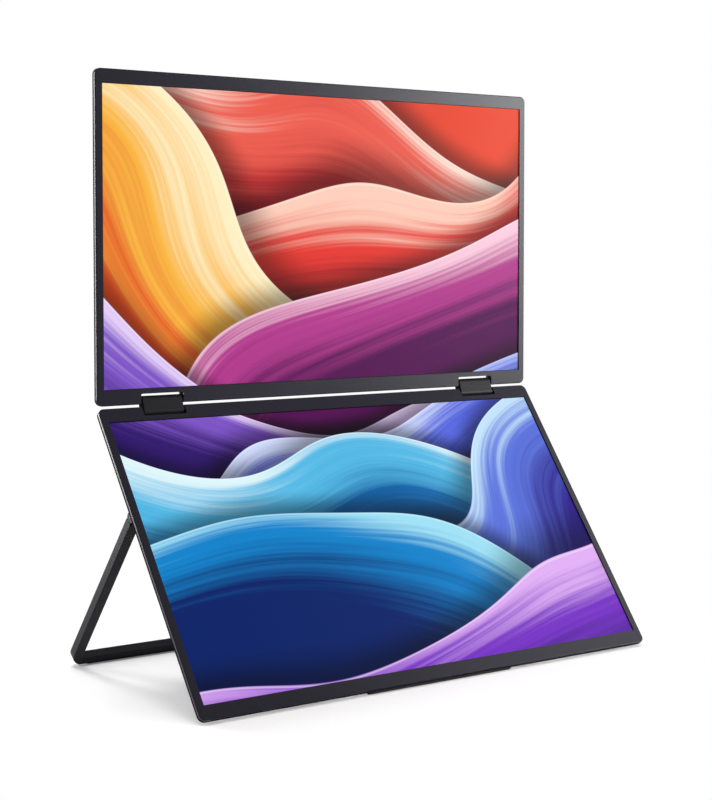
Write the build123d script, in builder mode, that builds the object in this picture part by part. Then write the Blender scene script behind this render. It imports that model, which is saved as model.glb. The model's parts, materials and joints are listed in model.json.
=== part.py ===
# Dual portable monitor: two display modules joined by twin-shaft hinge knuckles. It stands on a
# rubber strip under the lower module and on a frame stand that folds out of its back.
# Millimetres and degrees. +X runs along the hinge to the viewer's right, +Y to the back, +Z up.
# The origin is on the table, below the middle of the standing monitor.
# Each module is drawn in its own plane, with its origin on the module's own hinge axis:
# x along the hinge, y away from the hinge, z out of the screen.

import os
from math import asin, atan2, cos, degrees, hypot, radians, sin, tan

from build123d import *

os.makedirs("parts", exist_ok=True)

# Clearances and the one overrun of all cuts
overrun = 5.0
running_gap = 0.05
slip_gap = 0.3

# How the monitor stands: lean of each module back from upright
lower_lean_angle = 37.0
upper_lean_angle = 0.0

# Screen and module outline
active_width = 409.5
active_height = 230.4
side_bezel = 6.25
hinge_bezel = 12.4
outer_bezel = 11.2
corner_radius = 5.0
hinge_reach = 2.6  # module edge past its hinge axis
front_depth = 3.7  # hinge axis to the front face
rim_thickness = 5.8  # front face to the back of the thin rim
back_depth = 4.0  # hinge axis to the raised back
rim_width = 14.0  # module side to the raised back
back_corner = 6.0
edge_round = 0.8
rim_round = 2.0
back_slope_angle = 45.0

# Casing walls and the display stack
wall = 1.0
bezel_thickness = 1.2
window_margin = 0.3
cell_thickness = 1.2
cell_margin = 2.2
light_thickness = 2.0
light_inset = 0.6
tape_width = 8.0
tape_side_gap = 3.0
tape_end_gap = 12.0
driver_leaf_gap = 11.2  # driver board to the hinge leaves
driver_height = 10.0
driver_gap = 2.0
driver_thickness = 0.8
board_thickness = 1.2
plug_length = 6.0
plug_width = 8.0
plug_height = 1.1

# Electronics bay on the back of the lower module
bay_depth = 10.6  # hinge axis to the back of the bay
bay_start = 12.0
bay_step = 70.0  # end of the wide part that carries sockets and buttons
bay_end_gap = 19.4  # bay to the module's outer edge
bay_side_margin = 6.0
bay_corner = 3.0
bay_round = 1.2
bay_draft_angle = 3.0

# Hinge knuckles, shafts, leaves and clips
axis_spacing = 8.8
knuckle_radius = 3.7
knuckle_length = 35.0
knuckle_inset = 38.5  # module side to the knuckle
knuckle_side_gap = 1.0
knuckle_notch_gap = 1.9
knuckle_chamfer = 0.5
notch_round = 1.0
shaft_diameter = 3.0
shaft_seat = 20.0
tongue_length = 14.0
tongue_width = 6.0
tongue_thickness = 2.0
leaf_width = 34.0
leaf_length = 20.0
leaf_start = 0.3  # leaf edge past the hinge axis
leaf_thickness = 1.0
leaf_gap = 0.5  # leaf to backlight
leaf_corner = 2.0
leaf_hole_spread = 22.0
leaf_hole_rise = 8.0
leaf_hole_start = 7.0
clip_length = 10.0
clip_thickness = 0.65
clip_slit = 0.8
clip_inset = 1.0

# Screws
screw_diameter = 1.6
screw_head_diameter = 3.6
screw_head_height = 1.0
leaf_screw_length = 1.3
board_screw_length = 3.6
arm_screw_length = 4.4
boss_diameter = 5.0
sink_angle = 90.0

# Signal cable through the left knuckle
cable_diameter = 1.2
cable_run = 5.0
cable_exit = 13.5
cable_bend = 4.0
plug_bend = 2.0
cable_lane = 23.0
cable_turn = 12.0

# Main board, ribbon, chips and speakers
main_reach = 24.0  # main board past the end of the driver board
main_height = 44.0
main_start = 22.0
main_side_gap = 0.8
main_hole_inset = 3.5
main_hole_side_inset = 13.0  # clear of the sockets
chip_size = 14.0
chip_thickness = 1.3
coil_size = 6.0
coil_thickness = 2.6
coil_pitch = 9.0
coil_count = 3
coil_corner = 1.5
coil_offset = 28.0
ribbon_width = 16.0
ribbon_thickness = 0.2
ribbon_inset = 6.0  # inner end of the main board to the ribbon
ribbon_seat = 4.0
speaker_width = 44.0
speaker_height = 18.0
speaker_thickness = 4.4
speaker_inset = 18.8  # bay side to the speaker
speaker_end_gap = 9.0
speaker_corner = 3.0
cone_width = 36.0
cone_height = 12.0
cone_depth = 0.8
grille_slot_width = 1.4
grille_slot_length = 11.0
grille_pitch = 3.4
grille_count = 11

# Sockets in the right side of the bay
socket_pitch = 14.0
socket_start = 30.0
socket_height = 3.2
socket_depth = 7.4
socket_inset = 0.4
socket_shell = 0.3
socket_corner = 1.3
small_socket_width = 8.94
small_tongue_width = 6.6
video_socket_width = 11.2
video_tongue_width = 8.4
tongue_blade = 0.7
tongue_reach = 5.0
socket_floor = 1.0

# Buttons in the left side of the bay
button_length = 8.0
button_height = 2.8
button_pitch = 14.0
button_start = 30.0
button_proud = 0.8
button_travel = 0.4
button_flange = 1.0
button_flange_thickness = 0.8
button_stem = 0.8
press_gap = 0.1
switch_size = 3.6
switch_body = 1.6
switch_plunger = 0.6
switch_plunger_diameter = 1.8
button_board_height = 5.0
button_board_margin = 5.0

# Foot strip under the lower module
foot_length = 136.0
foot_proud = 1.3
foot_back = 1.9  # foot edge behind the hinge axis plane
foot_front = 1.2
foot_root = 2.4
foot_cut = 0.7  # how deep the table facet cuts the strip's corner

# Frame stand
stand_inset = 3.0  # module side to the outside of the stand
stand_width = 8.2
stand_thickness = 8.2
stand_pivot = 85.8
stand_length = 165.4
stand_rim_gap = 0.3
stand_side_gap = 1.2
stand_corner = 13.0
stand_inner_corner = 4.0
stand_edge_round = 1.0
stand_facet_cut = 1.4
strip_thickness = 0.6
strip_end_gap = 15.0
arm_width = 5.0
arm_thickness = 2.2
arm_length = 27.0
arm_gap = 0.2
arm_screw_place = 18.0
pin_diameter = 2.5
bracket_length = 12.0
bracket_diameter = 4.4
bracket_reach = 10.0
bracket_flange = 1.2
bracket_hole_spread = 14.0
washer_thickness = 0.8
washer_diameter = 4.2
washer_count = 2
nut_width = 4.0
nut_thickness = 2.0
nut_sides = 6

# Heights in a module's own plane
parting = front_depth - bezel_thickness
cell_back = parting - cell_thickness
light_back = cell_back - light_thickness
rim_back = front_depth - rim_thickness
rim_floor = rim_back + wall
back = -back_depth
back_floor = back + wall
bay_back = -bay_depth
bay_floor = bay_back + wall
leaf_front = light_back - leaf_gap
leaf_back = leaf_front - leaf_thickness
driver_back = light_back - driver_thickness

# Places across and along a module
half_width = active_width / 2 + side_bezel
module_height = hinge_bezel + active_height + outer_bezel
hinge_edge = -hinge_reach
outer_edge = hinge_edge + module_height
module_middle = (hinge_edge + outer_edge) / 2
active_start = hinge_edge + hinge_bezel
active_middle = active_start + active_height / 2
back_half = half_width - rim_width
bay_half = half_width - bay_side_margin
stand_half = half_width - stand_inset
bay_narrow_half = stand_half - stand_width - stand_side_gap
bay_end = outer_edge - bay_end_gap
speaker_place = bay_narrow_half - speaker_inset - speaker_width / 2
speaker_line = bay_end - speaker_end_gap - speaker_height / 2
knuckle_place = half_width - knuckle_inset - knuckle_length / 2
notch_width = knuckle_length + 2 * knuckle_side_gap
notch_end = knuckle_radius + knuckle_notch_gap
knuckle_inner = knuckle_place - knuckle_length / 2
knuckle_outer = knuckle_place + knuckle_length / 2
leaf_outer = knuckle_inner - knuckle_side_gap - wall - slip_gap
leaf_middle = leaf_outer - leaf_width / 2
driver_width = 2 * (leaf_outer - leaf_width - driver_leaf_gap)

shaft_radius = shaft_diameter / 2
screw_radius = screw_diameter / 2
screw_head_radius = screw_head_diameter / 2
boss_radius = boss_diameter / 2
cable_radius = cable_diameter / 2
pin_radius = pin_diameter / 2
eye_radius = stand_thickness / 2
lane_floor = back_floor + cable_radius + slip_gap

# Where the modules stand: the foot strip's facet and the stand's strip both touch the table
lower_sin = sin(radians(lower_lean_angle))
lower_cos = cos(radians(lower_lean_angle))
knuckle_lean_angle = (lower_lean_angle + upper_lean_angle) / 2
lower_axis_z = (outer_edge + foot_proud) * lower_cos + foot_back * lower_sin - foot_cut
stand_axis = rim_back - stand_rim_gap - stand_thickness / 2
pivot_z = lower_axis_z - stand_pivot * lower_cos + stand_axis * lower_sin
stand_drop = pivot_z + stand_facet_cut - strip_thickness
stand_slope_angle = degrees(
    asin(stand_drop / hypot(stand_length, eye_radius)) - atan2(eye_radius, stand_length)
)
stand_open_angle = 90 + lower_lean_angle - stand_slope_angle

# The front and rear ends of the standing monitor, measured from the lower hinge axis
stand_sin = sin(radians(stand_slope_angle))
stand_cos = cos(radians(stand_slope_angle))
front_reach = (
    -(outer_edge - edge_round) * lower_sin - (front_depth - edge_round) * lower_cos - edge_round
)
pivot_reach = -stand_pivot * lower_sin - stand_axis * lower_cos
rear_reach = (
    pivot_reach
    + (stand_length - stand_edge_round) * stand_cos
    + (eye_radius - stand_edge_round) * stand_sin
    + stand_edge_round
)
lower_axis_y = -(front_reach + rear_reach) / 2
upper_axis_y = lower_axis_y + axis_spacing * sin(radians(knuckle_lean_angle))
upper_axis_z = lower_axis_z + axis_spacing * cos(radians(knuckle_lean_angle))


def leaning_plane(place_y, place_z, lean, x_sign):
    """A plane along the hinge that faces the front, leaning back by an angle."""
    facing = (0, -cos(radians(lean)), sin(radians(lean)))
    return Plane(origin=(0, place_y, place_z), x_dir=(x_sign, 0, 0), z_dir=facing)


upper_plane = leaning_plane(upper_axis_y, upper_axis_z, upper_lean_angle, 1)
lower_plane = leaning_plane(lower_axis_y, lower_axis_z, lower_lean_angle, -1)
knuckle_plane = leaning_plane(
    (lower_axis_y + upper_axis_y) / 2, (lower_axis_z + upper_axis_z) / 2, knuckle_lean_angle, 1
)
pivot_y = lower_axis_y + pivot_reach
stand_plane = leaning_plane(pivot_y, pivot_z, lower_lean_angle - stand_open_angle, -1)
modules = {"upper": upper_plane, "lower": lower_plane}
sides = {"left": -1, "right": 1}


def write(builder, name):
    """Label a finished piece and write it as a STEP file."""
    builder.part.label = name
    export_step(builder.part, f"parts/{name}.step")


def local_side(plane, side):
    """The sign of a world side along the plane's own x."""
    return sides[side] * round(plane.x_dir.X)


def facing_back(plane, height):
    """The module's plane at a height, turned to face the back, with the same y."""
    flat = plane.offset(height)
    return Plane(origin=flat.origin, x_dir=-flat.x_dir, z_dir=-flat.z_dir)


def across(plane, x, z=0):
    """A plane across the hinge: its x is the module's y, and it faces along the module's x."""
    return Plane(origin=plane.from_local_coords(Vector(x, 0, z)), x_dir=plane.y_dir, z_dir=plane.x_dir)


def back_face(builder, plane):
    """The face of a part that lies furthest to the back of the plane."""
    return builder.faces().sort_by(Axis(plane.origin, plane.z_dir))[0]


def front_face(builder, plane):
    """The face of a part that lies furthest to the front of the plane."""
    return builder.faces().sort_by(Axis(plane.origin, plane.z_dir))[-1]


def outline(plane, inset):
    """Rounded outline of a module, drawn in by an inset."""
    with BuildSketch(plane) as sketch:
        with Locations((0, module_middle)):
            RectangleRounded(2 * (half_width - inset), module_height - 2 * inset, corner_radius - inset)
    return sketch.sketch


def back_field(plane, end, inset):
    """Outline of the raised back, from the hinge edge to its end."""
    start = hinge_edge + inset
    stop = end - inset
    with BuildSketch(plane) as sketch:
        with Locations((0, (start + stop) / 2)):
            RectangleRounded(2 * (back_half - inset), stop - start, back_corner - inset)
    return sketch.sketch


def bay_outline(plane, inset):
    """T-shaped outline of the electronics bay: wide at the sockets, narrow between the stand's legs."""
    start = bay_start + inset
    step = bay_step - inset
    stop = bay_end - inset
    with BuildSketch(plane) as sketch:
        with Locations((0, (start + step) / 2)):
            Rectangle(2 * (bay_half - inset), step - start)
        with Locations((0, (start + stop) / 2)):
            Rectangle(2 * (bay_narrow_half - inset), stop - start)
        fillet(sketch.vertices(), bay_corner - inset)
    return sketch.sketch


def notch_outline(plane, margin):
    """The two openings in the hinge edge that the knuckles sit in, grown by a margin."""
    start = hinge_edge - overrun
    stop = notch_end + margin
    with BuildSketch(plane) as sketch:
        with Locations(*[(sign * knuckle_place, (start + stop) / 2) for sign in sides.values()]):
            RectangleRounded(notch_width + 2 * margin, stop - start, notch_round)
    return sketch.sketch


def leaf_hole_places():
    """Screw places of both hinge leaves of a module, in the module's plane."""
    places = []
    for sign in sides.values():
        for along in (-leaf_hole_spread / 2, leaf_hole_spread / 2):
            for rise in (0, leaf_hole_rise):
                places.append((sign * leaf_middle + along, leaf_hole_start + rise))
    return places


def board_hole_places():
    """Screw places of the main board, in the lower module's plane."""
    first_x = main_outer - main_hole_side_inset
    last_x = main_outer - main_width + main_hole_inset
    first_y = main_start + main_hole_inset
    last_y = main_start + main_height - main_hole_inset
    return [(socket_side * x, y) for x in (first_x, last_x) for y in (first_y, last_y)]


def bracket_hole_places():
    """Screw places of both stand brackets, in the lower module's plane."""
    return [
        (sign * bracket_middle, stand_pivot + along)
        for sign in sides.values()
        for along in (-bracket_hole_spread / 2, bracket_hole_spread / 2)
    ]


# Places that the rear cover of the lower module shares with what it carries
socket_side = local_side(lower_plane, "right")
button_side = local_side(lower_plane, "left")
socket_line = (rim_back + bay_back) / 2
side_face = bay_half - (rim_back - socket_line) * tan(radians(bay_draft_angle))
side_inner = bay_half - wall - (rim_floor - socket_line) * tan(radians(bay_draft_angle))
main_outer = side_inner - main_side_gap
main_width = main_outer - driver_width / 2 + main_reach
main_back = socket_line + socket_height / 2
main_front = main_back + board_thickness
ribbon_place = main_outer - main_width + ribbon_inset + ribbon_width / 2
bay_wall_lean = (rim_floor - bay_floor) * tan(radians(bay_draft_angle))
bracket_outer = bay_narrow_half - wall - slip_gap - bay_wall_lean
bracket_middle = bracket_outer - bracket_length / 2
flange_back = stand_axis - bracket_flange / 2
flange_front = stand_axis + bracket_flange / 2
socket_widths = {
    "power_socket": small_socket_width,
    "data_socket": small_socket_width,
    "video_socket": video_socket_width,
}
socket_blades = {
    "power_socket": small_tongue_width,
    "data_socket": small_tongue_width,
    "video_socket": video_tongue_width,
}
buttons = ["power_button", "brightness_up_button", "brightness_down_button"]


def socket_place(index):
    """Middle of a socket along the bay's side."""
    return socket_start + index * socket_pitch


def button_place(index):
    """Middle of a button along the bay's side."""
    return button_start + index * button_pitch


def casing_rim(plane):
    """Solid thin body of a module behind its bezel, with the back edge rounded."""
    with BuildPart() as rim:
        extrude(outline(facing_back(plane, parting), 0), amount=parting - rim_back)
        fillet(back_face(rim, plane).edges(), rim_round)
    return rim.part


def casing_hollow(plane, end, has_bay):
    """The space inside a rear cover. Walls round the notches and the screw bosses stand in it."""
    with BuildPart() as hollow:
        extrude(outline(facing_back(plane, parting), wall), amount=parting - rim_floor)
        extrude(
            back_field(facing_back(plane, rim_floor), end, wall),
            amount=rim_floor - back_floor,
            taper=back_slope_angle,
        )
        if has_bay:
            extrude(
                bay_outline(facing_back(plane, rim_floor), wall),
                amount=rim_floor - bay_floor,
                taper=bay_draft_angle,
            )
        extrude(
            notch_outline(plane.offset(bay_back), wall),
            amount=bay_depth + front_depth,
            mode=Mode.SUBTRACT,
        )
        with BuildSketch(plane.offset(bay_back)):
            with Locations(*leaf_hole_places()):
                Circle(boss_radius)
        extrude(amount=leaf_back - bay_back, mode=Mode.SUBTRACT)
        if has_bay:
            with BuildSketch(plane.offset(bay_back)):
                with Locations(*board_hole_places()):
                    Circle(boss_radius)
            extrude(amount=main_back - bay_back, mode=Mode.SUBTRACT)
            with BuildSketch(plane.offset(bay_back)):
                with Locations(*bracket_hole_places()):
                    Circle(boss_radius)
            extrude(amount=flange_back - bay_back, mode=Mode.SUBTRACT)
    return hollow.part


def rear_cover(name, plane, end, has_bay):
    """Rear casing half: thin rim, raised back and, on the lower module, the electronics bay."""
    rim = casing_rim(plane)
    hollow = casing_hollow(plane, end, has_bay)
    cable_side = local_side(plane, "left")
    with BuildPart() as cover:
        if has_bay:
            extrude(
                bay_outline(facing_back(plane, rim_back), 0),
                amount=rim_back - bay_back,
                taper=bay_draft_angle,
            )
            fillet(back_face(cover, plane).edges(), bay_round)
            extrude(bay_outline(facing_back(plane, parting), 0), amount=parting - rim_back)
        add(rim)
        extrude(back_field(facing_back(plane, parting), end, 0), amount=parting - rim_back)
        extrude(
            back_field(facing_back(plane, rim_back), end, 0),
            amount=rim_back - back,
            taper=back_slope_angle,
        )
        add(hollow, mode=Mode.SUBTRACT)
        extrude(
            notch_outline(plane.offset(bay_back - overrun), 0),
            amount=bay_depth + front_depth + overrun,
            mode=Mode.SUBTRACT,
        )
        # Shafts leave each notch towards the middle, the cable leaves the left one outwards
        for sign in sides.values():
            with BuildSketch(across(plane, sign * knuckle_inner)):
                Circle(shaft_radius + slip_gap)
            extrude(amount=-sign * (knuckle_side_gap + wall), mode=Mode.SUBTRACT)
        with BuildSketch(across(plane, cable_side * knuckle_outer)):
            Circle(cable_radius + slip_gap)
        extrude(amount=cable_side * (knuckle_side_gap + wall), mode=Mode.SUBTRACT)
        with BuildSketch(plane.offset(leaf_back - leaf_screw_length)):
            with Locations(*leaf_hole_places()):
                Circle(screw_radius + running_gap)
        extrude(amount=leaf_screw_length, mode=Mode.SUBTRACT)
        if has_bay:
            cut_bay_openings(plane)
    write(cover, name)


def cut_bay_openings(plane):
    """Sockets, buttons, stand pins, board screws and speaker slots, cut into the part being built."""
    with BuildSketch(plane.offset(main_back - board_screw_length)) as board_holes:
        with Locations(*board_hole_places()):
            Circle(screw_radius + running_gap)
    extrude(board_holes.sketch, amount=board_screw_length, mode=Mode.SUBTRACT)
    with BuildSketch(plane.offset(bay_floor)) as bracket_holes:
        with Locations(*bracket_hole_places()):
            Circle(screw_radius + running_gap)
    extrude(bracket_holes.sketch, amount=flange_back - bay_floor, mode=Mode.SUBTRACT)
    for index, width in enumerate(socket_widths.values()):
        with BuildSketch(across(plane, socket_side * side_inner, socket_line)) as mouth:
            with Locations((socket_place(index), 0)):
                RectangleRounded(width + 2 * slip_gap, socket_height + 2 * slip_gap, socket_corner)
        extrude(mouth.sketch, amount=socket_side * overrun, both=True, mode=Mode.SUBTRACT)
    for index in range(len(buttons)):
        with BuildSketch(across(plane, button_side * side_inner, socket_line)) as slot:
            with Locations((button_place(index), 0)):
                SlotOverall(button_length + 2 * slip_gap, button_height + 2 * slip_gap)
        extrude(slot.sketch, amount=button_side * overrun, both=True, mode=Mode.SUBTRACT)
    for sign in sides.values():
        with BuildSketch(across(plane, sign * bay_narrow_half, stand_axis)) as pin_hole:
            with Locations((stand_pivot, 0)):
                Circle(pin_radius + slip_gap)
        extrude(pin_hole.sketch, amount=overrun, both=True, mode=Mode.SUBTRACT)
        with BuildSketch(plane.offset(bay_back)) as slots:
            with Locations((sign * speaker_place, speaker_line)):
                with GridLocations(grille_pitch, 0, grille_count, 1):
                    SlotOverall(grille_slot_length, grille_slot_width, rotation=90)
        extrude(slots.sketch, amount=wall, mode=Mode.SUBTRACT)


def front_bezel(name, plane):
    """Frame round the screen, with a softened outer edge and the knuckle notches."""
    with BuildPart() as bezel:
        extrude(outline(plane.offset(parting), 0), amount=bezel_thickness)
        fillet(front_face(bezel, plane).edges(), edge_round)
        with BuildSketch(plane.offset(parting)):
            with Locations((0, active_middle)):
                Rectangle(active_width + 2 * window_margin, active_height + 2 * window_margin)
        extrude(amount=bezel_thickness, mode=Mode.SUBTRACT)
        extrude(notch_outline(plane.offset(parting), 0), amount=bezel_thickness, mode=Mode.SUBTRACT)
    write(bezel, name)


def display_stack(name, plane):
    """Panel glass, backlight, the tapes that hold them to the rim, and the panel's driver board."""
    with BuildPart() as panel:
        with BuildSketch(plane.offset(cell_back)):
            with Locations((0, active_middle)):
                Rectangle(active_width + 2 * cell_margin, active_height + 2 * cell_margin)
        extrude(amount=cell_thickness)
    write(panel, f"{name}_display_panel")

    light_margin = cell_margin - light_inset
    with BuildPart() as light:
        with BuildSketch(plane.offset(light_back)):
            with Locations((0, active_middle)):
                Rectangle(active_width + 2 * light_margin, active_height + 2 * light_margin)
        extrude(amount=light_thickness)
    write(light, f"{name}_backlight_unit")

    tape_place = active_width / 2 + light_margin - tape_side_gap - tape_width / 2
    with BuildPart() as tapes:
        with BuildSketch(plane.offset(rim_floor)):
            with Locations((0, active_middle)):
                with GridLocations(2 * tape_place, 0, 2, 1):
                    Rectangle(tape_width, active_height - 2 * tape_end_gap)
        extrude(amount=light_back - rim_floor)
    write(tapes, f"{name}_panel_tapes")

    plug_x = local_side(plane, "left") * (driver_width - plug_length) / 2
    driver_line = active_start + driver_gap + driver_height / 2
    with BuildPart() as driver:
        with BuildSketch(plane.offset(driver_back)):
            with Locations((0, driver_line)):
                Rectangle(driver_width, driver_height)
        extrude(amount=driver_thickness)
        with BuildSketch(plane.offset(driver_back)):
            with Locations((plug_x, driver_line)):
                Rectangle(plug_length, plug_width)
        extrude(amount=-plug_height)
    write(driver, f"{name}_driver_board")


def hinge_leaf(name, plane, sign):
    """Flat steel leaf that carries a shaft's tongue and is screwed to the rear cover."""
    with BuildPart(plane.offset(leaf_front)) as leaf:
        with BuildSketch(plane.offset(leaf_back)) as blank:
            with Locations((sign * leaf_middle, (leaf_length - leaf_start) / 2)):
                Rectangle(leaf_width, leaf_length + leaf_start)
            fillet(blank.vertices().group_by(Axis.Y)[-1], leaf_corner)
        extrude(amount=leaf_thickness)
        with Locations(*[place for place in leaf_hole_places() if place[0] * sign > 0]):
            CounterSinkHole(
                screw_radius + running_gap,
                screw_head_radius,
                leaf_thickness,
                counter_sink_angle=sink_angle,
            )
    write(leaf, name)


def hinge_shaft(name, plane, sign):
    """Friction shaft: round in the knuckle, with a flat tongue that lies on the leaf."""
    shaft_length = shaft_seat + knuckle_inner - leaf_outer
    with BuildPart() as shaft:
        with BuildSketch(across(plane, sign * leaf_outer)):
            Circle(shaft_radius)
        extrude(amount=sign * shaft_length)
        with BuildSketch(plane.offset(leaf_front)):
            with Locations((sign * (leaf_outer - tongue_length / 2), tongue_width / 2 - shaft_radius)):
                Rectangle(tongue_length, tongue_width)
        extrude(amount=tongue_thickness)
    write(shaft, name)


def sunk_screws(name, plane, places, length):
    """Countersunk screws, flush with the plane, one solid each."""
    head_radius = screw_head_radius - running_gap
    with BuildPart(plane) as screws:
        with Locations(*places):
            Cylinder(screw_radius, length, align=(Align.CENTER, Align.CENTER, Align.MAX))
            Cone(
                screw_radius,
                head_radius,
                head_radius - screw_radius,
                align=(Align.CENTER, Align.CENTER, Align.MAX),
            )
    write(screws, name)


def cap_screws(name, plane, places, length):
    """Screws whose round heads stand on the plane, one solid each."""
    with BuildPart(plane) as screws:
        with Locations(*places):
            Cylinder(screw_radius, length, align=(Align.CENTER, Align.CENTER, Align.MAX))
            Cylinder(
                screw_head_radius,
                screw_head_height,
                align=(Align.CENTER, Align.CENTER, Align.MIN),
            )
    write(screws, name)


def knuckle_end(side, outer):
    """Plane on one end of a knuckle: x runs from the lower to the upper axis, and it faces in."""
    sign = sides[side]
    if outer:
        place = sign * knuckle_outer
        facing = -sign
    else:
        place = sign * knuckle_inner
        facing = sign
    middle = knuckle_plane.from_local_coords(Vector(place, 0, 0))
    return Plane(origin=middle, x_dir=knuckle_plane.y_dir, z_dir=(facing, 0, 0))


def cable_loop(radius):
    """Tube through the left knuckle: in along the upper axis, round, and out along the lower axis."""
    end = knuckle_end("left", True)
    half = axis_spacing / 2
    flat = Plane(origin=end.origin, x_dir=end.z_dir, z_dir=end.z_dir.cross(end.x_dir))
    with BuildPart() as tube:
        with BuildLine(flat) as path:
            run_in = Line((0, half), (cable_run, half))
            turn = TangentArc(run_in @ 1, (cable_run, -half), tangent=run_in % 1)
            Line(turn @ 1, (0, -half))
        with BuildSketch(Plane(origin=path.line @ 0, z_dir=path.line % 0)):
            Circle(radius)
        sweep(path=path.line)
    return tube.part


def hinge_knuckle(side):
    """Rounded block that holds the shafts of both modules side by side."""
    with BuildPart() as knuckle:
        with BuildSketch(knuckle_end(side, False)):
            SlotCenterToCenter(axis_spacing, 2 * knuckle_radius)
        extrude(amount=knuckle_length)
        chamfer(knuckle.faces().filter_by(Axis.X).edges(), knuckle_chamfer)
        with BuildSketch(knuckle_end(side, False)):
            with GridLocations(axis_spacing, 0, 2, 1):
                Circle(shaft_radius + running_gap)
        extrude(amount=shaft_seat + slip_gap, mode=Mode.SUBTRACT)
        with BuildSketch(knuckle_end(side, False)):
            with GridLocations(axis_spacing, 0, 2, 1):
                Circle(shaft_radius + clip_thickness + 2 * running_gap)
        extrude(amount=clip_inset + clip_length, mode=Mode.SUBTRACT)
        if side == "left":
            add(cable_loop(cable_radius + slip_gap), mode=Mode.SUBTRACT)
    write(knuckle, f"hinge_knuckle_{side}")


def friction_clips():
    """Slit spring sleeves in the knuckles that grip the shafts."""
    with BuildPart() as clips:
        for side in sides:
            with BuildSketch(knuckle_end(side, False).offset(clip_inset)):
                with GridLocations(axis_spacing, 0, 2, 1):
                    Circle(shaft_radius + clip_thickness + running_gap)
                    Circle(shaft_radius + running_gap, mode=Mode.SUBTRACT)
                    with Locations((0, shaft_radius)):
                        Rectangle(clip_slit, shaft_radius, mode=Mode.SUBTRACT)
            extrude(amount=clip_length)
    write(clips, "hinge_friction_clips")


def signal_cable(name, plane, end_x, end_y, height):
    """Cable inside a module: from the left knuckle along the hinge, then behind the panel."""
    sign = local_side(plane, "left")
    turn_x = sign * (knuckle_outer + cable_exit)
    toward = 1 if end_x > turn_x else -1
    points = [
        (sign * (knuckle_outer + slip_gap), 0, 0),
        (turn_x, 0, 0),
        (turn_x, active_start - cell_margin, max(height, lane_floor)),
        (turn_x, cable_lane, height),
        (end_x - toward * cable_turn, cable_lane, height),
        (end_x - toward * cable_bend, end_y, height),
        (end_x, end_y, height),
    ]
    with BuildPart() as cable:
        with BuildLine(plane) as path:
            FilletPolyline(*points, radius=[cable_bend] * 4 + [plug_bend])
        with BuildSketch(Plane(origin=path.line @ 0, z_dir=path.line % 0)):
            Circle(cable_radius)
        sweep(path=path.line)
    write(cable, name)


def main_board():
    """Board behind the lower panel that carries the sockets, with its plug, chips and coils."""
    plane = lower_plane
    middle_x = socket_side * (main_outer - main_width / 2)
    middle_y = main_start + main_height / 2
    inner_x = socket_side * (main_outer - main_width)
    with BuildPart() as board:
        with BuildSketch(plane.offset(main_back)):
            with Locations((middle_x, middle_y)):
                Rectangle(main_width, main_height)
            with Locations(*board_hole_places()):
                Circle(screw_radius + slip_gap, mode=Mode.SUBTRACT)
        extrude(amount=board_thickness)
        with BuildSketch(plane.offset(main_front)):
            with Locations((inner_x + socket_side * plug_length / 2, middle_y)):
                Rectangle(plug_length, plug_width)
        extrude(amount=plug_height)
    write(board, "main_board")

    with BuildPart() as chips:
        with BuildSketch(plane.offset(main_back)):
            with Locations((middle_x, middle_y)):
                Rectangle(chip_size, chip_size)
        extrude(amount=-chip_thickness)
        with BuildSketch(plane.offset(main_back)):
            with Locations((middle_x - socket_side * coil_offset, middle_y)):
                with GridLocations(coil_pitch, 0, coil_count, 1):
                    RectangleRounded(coil_size, coil_size, coil_corner)
        extrude(amount=-coil_thickness)
    write(chips, "main_board_chips")
    cap_screws("main_board_screws", plane.offset(main_front), board_hole_places(), board_screw_length)
    return inner_x, middle_y


def panel_ribbon():
    """Flat ribbon that steps from the lower panel's driver board to the main board."""
    driver_end = active_start + driver_gap + driver_height
    low_y = main_start + ribbon_seat
    points = [
        (driver_end - ribbon_seat, driver_back),
        (driver_end, driver_back),
        (main_start, main_front + ribbon_thickness),
        (low_y, main_front + ribbon_thickness),
        (low_y, main_front),
        (main_start, main_front),
        (driver_end, driver_back - ribbon_thickness),
        (driver_end - ribbon_seat, driver_back - ribbon_thickness),
    ]
    with BuildPart() as ribbon:
        with BuildSketch(across(lower_plane, socket_side * (ribbon_place - ribbon_width / 2))):
            with BuildLine():
                Polyline(*points, close=True)
            make_face()
        extrude(amount=socket_side * ribbon_width)
    write(ribbon, "panel_ribbon")


def speaker(side):
    """Flat speaker box on the bay's floor, with its cone towards the slots."""
    place = local_side(lower_plane, side) * speaker_place
    with BuildPart() as box:
        with BuildSketch(lower_plane.offset(bay_floor)):
            with Locations((place, speaker_line)):
                RectangleRounded(speaker_width, speaker_height, speaker_corner)
        extrude(amount=speaker_thickness)
        with BuildSketch(lower_plane.offset(bay_floor)):
            with Locations((place, speaker_line)):
                SlotOverall(cone_width, cone_height)
        extrude(amount=cone_depth, mode=Mode.SUBTRACT)
    write(box, f"speaker_{side}")


def socket(name, index):
    """Metal socket shell with a contact blade, soldered under the main board."""
    width = socket_widths[name]
    plane = across(lower_plane, socket_side * (side_face - socket_inset), socket_line)
    inwards = -socket_side
    with BuildPart() as shell:
        with BuildSketch(plane):
            with Locations((socket_place(index), 0)):
                RectangleRounded(width, socket_height, socket_corner)
        extrude(amount=inwards * socket_depth)
        with BuildSketch(plane):
            with Locations((socket_place(index), 0)):
                RectangleRounded(
                    width - 2 * socket_shell,
                    socket_height - 2 * socket_shell,
                    socket_corner - socket_shell,
                )
                Rectangle(socket_blades[name], tongue_blade, mode=Mode.SUBTRACT)
        extrude(amount=inwards * (socket_depth - socket_floor), mode=Mode.SUBTRACT)
        with BuildSketch(plane):
            with Locations((socket_place(index), 0)):
                Rectangle(socket_blades[name], tongue_blade)
        extrude(amount=inwards * (socket_depth - socket_floor - tongue_reach), mode=Mode.SUBTRACT)
    write(shell, name)


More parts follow.
